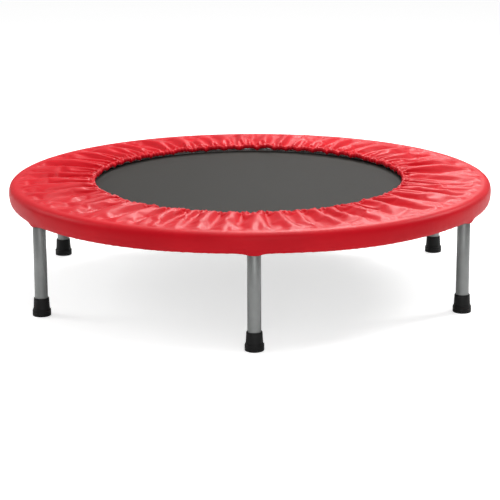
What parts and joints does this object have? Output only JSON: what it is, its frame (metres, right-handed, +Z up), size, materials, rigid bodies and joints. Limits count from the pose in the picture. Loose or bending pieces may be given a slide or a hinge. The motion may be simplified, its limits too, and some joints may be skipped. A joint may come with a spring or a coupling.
{
  "type": "mini trampoline",
  "caption": "Round mini trampoline with a sprung woven mat, a padded vinyl safety cover over the springs, and short straight screw-in legs with flared rubber feet.",
  "frame": {"origin": "on the floor at the centre of the ring", "axes": "+Z up, -Y through the front leg (leg 1), +X to the right seen from the front"},
  "size_m": [0.965, 0.965, 0.219],
  "materials": {
    "frame_steel": "satin",
    "leg_steel": "satin",
    "zinc": "satin",
    "mat_weave": "matte",
    "band_webbing": "matte",
    "cover_vinyl": "satin",
    "foam": "matte",
    "elastic": "matte",
    "rubber": "satin"
  },
  "bodies": {
    "frame": {"frame_ring": "frame_steel", "spring_01": "zinc", "spring_02": "zinc", "spring_03": "zinc", "spring_04": "zinc", "spring_05": "zinc", "spring_06": "zinc", "spring_07": "zinc", "spring_08": "zinc", "spring_09": "zinc", "spring_10": "zinc", "spring_11": "zinc", "spring_12": "zinc", "spring_13": "zinc", "spring_14": "zinc", "spring_15": "zinc", "spring_16": "zinc", "spring_17": "zinc", "spring_18": "zinc", "spring_19": "zinc", "spring_20": "zinc", "spring_21": "zinc", "spring_22": "zinc", "spring_23": "zinc", "spring_24": "zinc", "spring_25": "zinc", "spring_26": "zinc", "spring_27": "zinc", "spring_28": "zinc", "spring_29": "zinc", "spring_30": "zinc"},
    "mat": {"jump_mat": "mat_weave", "mat_edge_band": "band_webbing"},
    "cover": {"pad_cover": "cover_vinyl", "pad_foam": "foam", "inner_hem_elastic": "elastic", "outer_hem_elastic": "elastic"},
    "washer_1": {"leg_washer_1": "zinc"},
    "leg_1": {"leg_1": "leg_steel", "leg_foot_1": "rubber"},
    "washer_2": {"leg_washer_2": "zinc"},
    "leg_2": {"leg_2": "leg_steel", "leg_foot_2": "rubber"},
    "washer_3": {"leg_washer_3": "zinc"},
    "leg_3": {"leg_3": "leg_steel", "leg_foot_3": "rubber"},
    "washer_4": {"leg_washer_4": "zinc"},
    "leg_4": {"leg_4": "leg_steel", "leg_foot_4": "rubber"},
    "washer_5": {"leg_washer_5": "zinc"},
    "leg_5": {"leg_5": "leg_steel", "leg_foot_5": "rubber"},
    "washer_6": {"leg_washer_6": "zinc"},
    "leg_6": {"leg_6": "leg_steel", "leg_foot_6": "rubber"}
  },
  "joints": [
    {"name": "mat_bounce", "type": "slide", "parent": "frame", "child": "mat", "axis": [0, 0, -1], "range_m": [0, 0.1], "stiffness_N_per_m": 15000, "deforming": ["spring_01", "spring_02", "spring_03", "spring_04", "spring_05", "spring_06", "spring_07", "spring_08", "spring_09", "spring_10", "spring_11", "spring_12", "spring_13", "spring_14", "spring_15", "spring_16", "spring_17", "spring_18", "spring_19", "spring_20", "spring_21", "spring_22", "spring_23", "spring_24", "spring_25", "spring_26", "spring_27", "spring_28", "spring_29", "spring_30"]},
    {"name": "cover_lift", "type": "slide", "parent": "frame", "child": "cover", "axis": [0, 0, 1], "range_m": [0, 0.2]},
    {"name": "leg_1_draw", "type": "slide", "parent": "frame", "child": "washer_1", "axis": [0, 0, -1], "range_m": [0, 0.018]},
    {"name": "leg_1_screw", "type": "hinge", "parent": "washer_1", "child": "leg_1", "pos_m": [0, -0.464, 0.1], "axis": [0, 0, -1], "range_deg": [0, 4320]},
    {"name": "leg_2_draw", "type": "slide", "parent": "frame", "child": "washer_2", "axis": [0, 0, -1], "range_m": [0, 0.018]},
    {"name": "leg_2_screw", "type": "hinge", "parent": "washer_2", "child": "leg_2", "pos_m": [0.40184, -0.232, 0.1], "axis": [0, 0, -1], "range_deg": [0, 4320]},
    {"name": "leg_3_draw", "type": "slide", "parent": "frame", "child": "washer_3", "axis": [0, 0, -1], "range_m": [0, 0.018]},
    {"name": "leg_3_screw", "type": "hinge", "parent": "washer_3", "child": "leg_3", "pos_m": [0.40184, 0.232, 0.1], "axis": [0, 0, -1], "range_deg": [0, 4320]},
    {"name": "leg_4_draw", "type": "slide", "parent": "frame", "child": "washer_4", "axis": [0, 0, -1], "range_m": [0, 0.018]},
    {"name": "leg_4_screw", "type": "hinge", "parent": "washer_4", "child": "leg_4", "pos_m": [0, 0.464, 0.1], "axis": [0, 0, -1], "range_deg": [0, 4320]},
    {"name": "leg_5_draw", "type": "slide", "parent": "frame", "child": "washer_5", "axis": [0, 0, -1], "range_m": [0, 0.018]},
    {"name": "leg_5_screw", "type": "hinge", "parent": "washer_5", "child": "leg_5", "pos_m": [-0.40184, 0.232, 0.1], "axis": [0, 0, -1], "range_deg": [0, 4320]},
    {"name": "leg_6_draw", "type": "slide", "parent": "frame", "child": "washer_6", "axis": [0, 0, -1], "range_m": [0, 0.018]},
    {"name": "leg_6_screw", "type": "hinge", "parent": "washer_6", "child": "leg_6", "pos_m": [-0.40184, -0.232, 0.1], "axis": [0, 0, -1], "range_deg": [0, 4320]}
  ],
  "couplings": [
    {"joint": "leg_1_screw", "follows": "leg_1_draw", "rad_per_m": 4188.8},
    {"joint": "leg_2_screw", "follows": "leg_2_draw", "rad_per_m": 4188.8},
    {"joint": "leg_3_screw", "follows": "leg_3_draw", "rad_per_m": 4188.8},
    {"joint": "leg_4_screw", "follows": "leg_4_draw", "rad_per_m": 4188.8},
    {"joint": "leg_5_screw", "follows": "leg_5_draw", "rad_per_m": 4188.8},
    {"joint": "leg_6_screw", "follows": "leg_6_draw", "rad_per_m": 4188.8}
  ]
}
